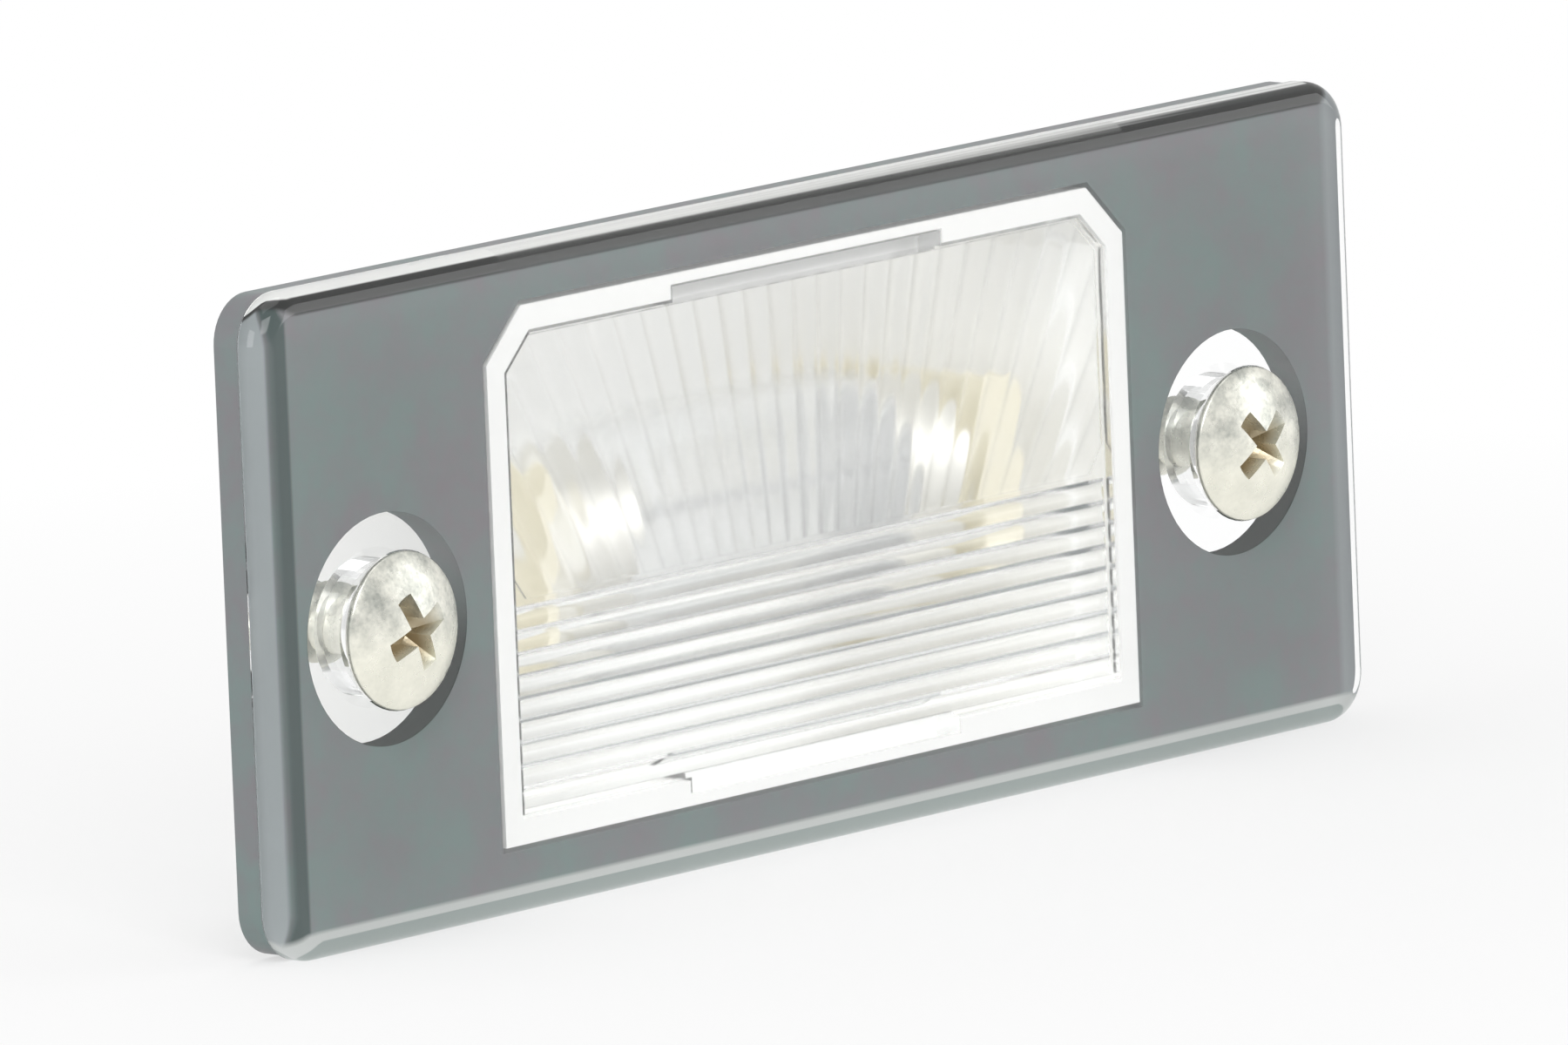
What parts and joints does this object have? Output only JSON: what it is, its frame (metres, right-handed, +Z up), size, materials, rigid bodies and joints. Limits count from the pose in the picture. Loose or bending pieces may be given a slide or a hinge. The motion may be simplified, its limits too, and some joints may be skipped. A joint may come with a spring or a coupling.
{
  "type": "number plate lamp",
  "caption": "Clear rectangular lens plate with fluted window, rubber seal, white housing with festoon bulb and plug socket, fixed by screws.",
  "frame": {"origin": "midway between the two screws, on the plane of the car's panel, where the seal's back face lies", "axes": "+X along the plate, to the viewer's right in the picture; +Y from the lens into the car's panel, along the screws; +Z up"},
  "size_m": [0.077, 0.0266, 0.0312],
  "materials": {
    "clear_plastic": "clear moulded plastic, polished window, smooth rounded edge",
    "seal_rubber": "matt grey moulded rubber",
    "white_plastic": "smooth white moulded plastic",
    "bulb_glass": "clear thin glass",
    "plated_cap": "satin nickel plate",
    "lamp_wire": "grey drawn wire",
    "contact_brass": "rolled brass strip, slightly dull",
    "zinc_screw": "pale yellow zinc plate, slightly worn"
  },
  "bodies": {
    "root": {"lens": "clear_plastic", "seal": "seal_rubber", "housing": "white_plastic", "bulb_glass": "bulb_glass", "bulb_cap_left": "plated_cap", "bulb_cap_right": "plated_cap", "bulb_filament": "lamp_wire", "bulb_lead_left": "lamp_wire", "bulb_lead_right": "lamp_wire", "contact_left": "contact_brass", "contact_right": "contact_brass", "screw_left": "zinc_screw", "screw_right": "zinc_screw"}
  },
  "joints": []
}
